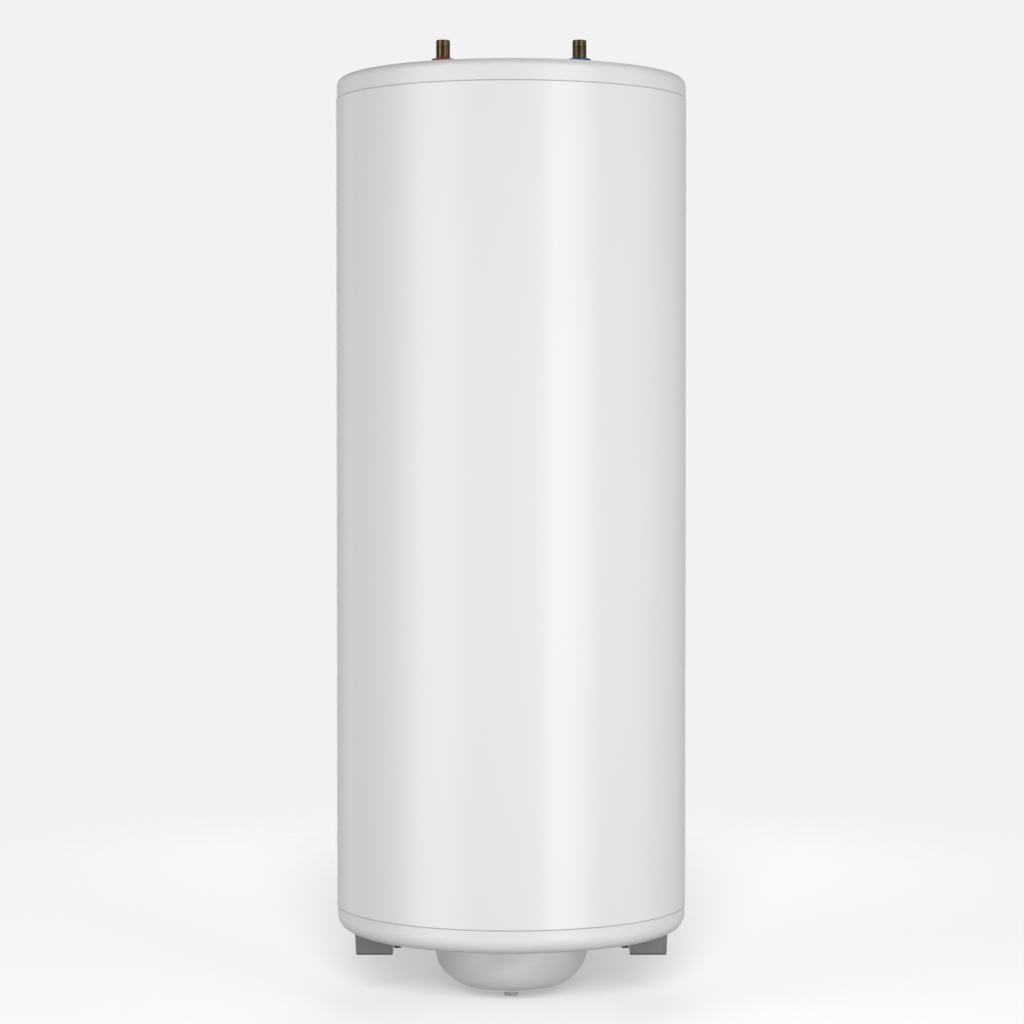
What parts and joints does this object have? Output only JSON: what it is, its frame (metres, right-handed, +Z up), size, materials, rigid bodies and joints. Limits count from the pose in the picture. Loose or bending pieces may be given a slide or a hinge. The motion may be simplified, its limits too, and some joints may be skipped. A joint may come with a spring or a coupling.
{
  "type": "storage water heater",
  "caption": "Slim upright electric storage water heater: white cylindrical jacket, pipe stubs with red and blue collars on top, bowl-shaped service cover underneath, short grey feet.",
  "frame": {"origin": "centre of the plane that the four feet stand on, on the body's axis", "axes": "+Z up along the body's axis, -Y to the front (the side shown in the picture), +X to the right as seen from the front; hot stub at -X, cold stub at +X"},
  "size_m": [0.55, 0.5526, 1.5046],
  "materials": {
    "jacket_paint": "satin",
    "cover_white": "satin",
    "cap_grey": "satin",
    "screw_plastic": "satin",
    "foot_grey": "satin",
    "pad_rubber": "matte",
    "steel": "satin",
    "enamel_steel": "satin",
    "stub_brass": "matte",
    "hot_red": "satin",
    "cold_blue": "satin",
    "foam": "matte",
    "element_alloy": "satin",
    "bead_ceramic": "matte",
    "anode_magnesium": "matte",
    "seal_rubber": "matte",
    "control_black": "satin",
    "knob_white": "satin",
    "reset_red": "satin",
    "block_nylon": "satin",
    "zinc": "satin",
    "bolt_black": "matte",
    "wire_brown": "satin",
    "wire_blue": "satin",
    "wire_green": "satin",
    "copper": "satin",
    "pe_white": "satin"
  },
  "bodies": {
    "heater": {"jacket": "jacket_paint", "jacket_lap_strip": "jacket_paint", "jacket_rivets": "zinc", "top_cover": "cover_white", "foam_fill_plug": "cover_white", "bottom_cover": "cover_white", "tank_shell": "enamel_steel", "tank_top_head": "enamel_steel", "tank_bottom_head": "enamel_steel", "flange_neck": "enamel_steel", "foot_brackets": "steel", "insulation_foam": "foam", "hot_outlet_pipe": "stub_brass", "cold_inlet_pipe": "stub_brass", "hot_rosette": "hot_red", "cold_rosette": "cold_blue", "hot_pipe_liner": "pe_white", "cold_dip_tube": "pe_white", "inlet_diffuser": "pe_white", "flange_gasket": "seal_rubber", "flange_plate": "steel", "flange_studs": "zinc", "flange_nuts": "zinc", "heating_element": "element_alloy", "element_beads": "bead_ceramic", "element_pins": "zinc", "thermostat_pocket": "copper", "anode_rod": "anode_magnesium", "anode_core": "zinc", "anode_seal": "seal_rubber", "anode_nut": "zinc", "control_bracket": "zinc", "thermostat_body": "control_black", "thermostat_probe": "copper", "terminal_block": "block_nylon", "terminal_screws": "zinc", "lead_live": "wire_brown", "lead_neutral": "wire_blue", "lead_earth": "wire_green", "earth_stud": "copper", "earth_nuts": "copper", "earth_lug": "zinc", "cover_stud": "zinc", "cover_stud_nut": "zinc", "foot_front_left": "foot_grey", "foot_front_right": "foot_grey", "foot_rear_left": "foot_grey", "foot_rear_right": "foot_grey", "foot_pads": "pad_rubber", "foot_screws": "bolt_black"},
    "service_cover": {"cover": "cap_grey", "cover_screw": "screw_plastic", "cable_grommet": "seal_rubber"},
    "temperature_knob": {"thermostat_knob": "knob_white"},
    "cutout_reset": {"reset_button": "reset_red"}
  },
  "joints": [
    {"name": "cover_drop", "type": "slide", "parent": "heater", "child": "service_cover", "axis": [0, 0, -1], "range_m": [0, 0.12]},
    {"name": "knob_turn", "type": "hinge", "parent": "heater", "child": "temperature_knob", "pos_m": [-0.045, 0.018, -0.035], "axis": [0, 0, -1], "range_deg": [-135, 135]},
    {"name": "reset_press", "type": "slide", "parent": "heater", "child": "cutout_reset", "axis": [0, 0, 1], "range_m": [0, 0.002], "stiffness_N_per_m": 300, "springref_m": -0.001}
  ]
}
